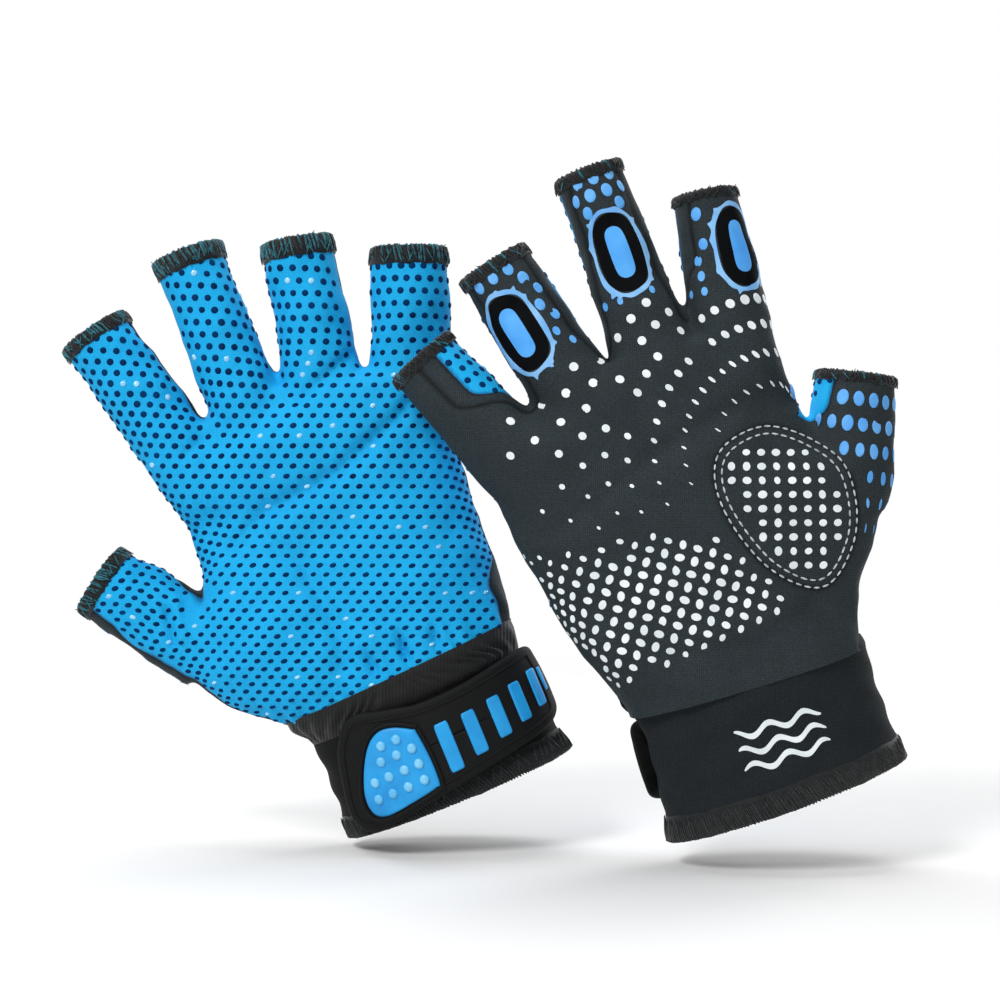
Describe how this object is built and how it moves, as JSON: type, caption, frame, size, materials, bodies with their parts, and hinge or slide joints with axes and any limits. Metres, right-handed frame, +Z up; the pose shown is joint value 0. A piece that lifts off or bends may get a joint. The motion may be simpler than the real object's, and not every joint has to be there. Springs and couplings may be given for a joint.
{
  "type": "short-finger sailing gloves",
  "caption": "Pair of short-finger sailing gloves with dotted grip palms, printed knit backs and pull-strap wrist closures, standing filled as if worn.",
  "frame": {"origin": "centre of glove A's wrist opening", "axes": "+Z up, as the pair stands with the fingers up; -Y is the side that glove A shows its palm to and glove B its back; +X runs from glove A to glove B"},
  "size_m": [0.2726, 0.077, 0.2222],
  "materials": {
    "palm_fabric": "bright azure knit with raised dark grip dots",
    "back_fabric": "charcoal stretch knit with white and blue printed dots",
    "patch_fabric": "charcoal stretch knit with white printed dots and white topstitching",
    "side_fabric": "charcoal stretch knit",
    "overlock": "overlocked edge, black thread with teal strands",
    "cuff_fabric": "smooth black neoprene-backed knit",
    "elastic": "gathered black elastic",
    "tape": "black hook-and-loop tape",
    "strap": "moulded black strap, smooth with a soft sheen",
    "blue_rubber": "satin blue moulded rubber with nubs"
  },
  "bodies": {
    "glove_a": {"glove_a_palm_panel": "palm_fabric", "glove_a_thumb_palm_panel": "palm_fabric", "glove_a_back_panel": "back_fabric", "glove_a_thumb_back_panel": "back_fabric", "glove_a_thumb_patch": "patch_fabric", "glove_a_fourchette_index_middle": "side_fabric", "glove_a_fourchette_middle_ring": "side_fabric", "glove_a_fourchette_ring_little": "side_fabric", "glove_a_wrist_elastic": "elastic", "glove_a_cuff_palm": "cuff_fabric", "glove_a_cuff_back": "cuff_fabric", "glove_a_cuff_hem": "overlock", "glove_a_loop_patch": "tape", "glove_a_strap_anchor": "strap", "glove_a_anchor_bar": "blue_rubber", "glove_a_hem_index": "overlock", "glove_a_hem_middle": "overlock", "glove_a_hem_ring": "overlock", "glove_a_hem_little": "overlock", "glove_a_hem_thumb": "overlock"},
    "strap_a": {"glove_a_strap": "strap", "glove_a_strap_bars": "blue_rubber", "glove_a_pull_tab": "blue_rubber", "glove_a_hook_patch": "tape"},
    "glove_b": {"glove_b_palm_panel": "palm_fabric", "glove_b_thumb_palm_panel": "palm_fabric", "glove_b_back_panel": "back_fabric", "glove_b_thumb_back_panel": "back_fabric", "glove_b_thumb_patch": "patch_fabric", "glove_b_fourchette_index_middle": "side_fabric", "glove_b_fourchette_middle_ring": "side_fabric", "glove_b_fourchette_ring_little": "side_fabric", "glove_b_wrist_elastic": "elastic", "glove_b_cuff_palm": "cuff_fabric", "glove_b_cuff_back": "cuff_fabric", "glove_b_cuff_hem": "overlock", "glove_b_loop_patch": "tape", "glove_b_strap_anchor": "strap", "glove_b_anchor_bar": "blue_rubber", "glove_b_hem_index": "overlock", "glove_b_hem_middle": "overlock", "glove_b_hem_ring": "overlock", "glove_b_hem_little": "overlock", "glove_b_hem_thumb": "overlock"},
    "strap_b": {"glove_b_strap": "strap", "glove_b_strap_bars": "blue_rubber", "glove_b_pull_tab": "blue_rubber", "glove_b_hook_patch": "tape"}
  },
  "joints": [
    {"name": "strap_a_open", "type": "hinge", "parent": "glove_a", "child": "strap_a", "pos_m": [0.02282, -0.0163, 0.03271], "axis": [-0.4226, 0, 0.9063], "range_deg": [0, 90]},
    {"name": "strap_b_open", "type": "hinge", "parent": "glove_b", "child": "strap_b", "pos_m": [0.06546, -0.0157, 0.01194], "axis": [-0.2924, 0, 0.9563], "range_deg": [0, 90]},
    {"name": "glove_b_apart", "type": "slide", "parent": "glove_a", "child": "glove_b", "axis": [0, -1, 0], "range_m": [0, 0.06]}
  ]
}
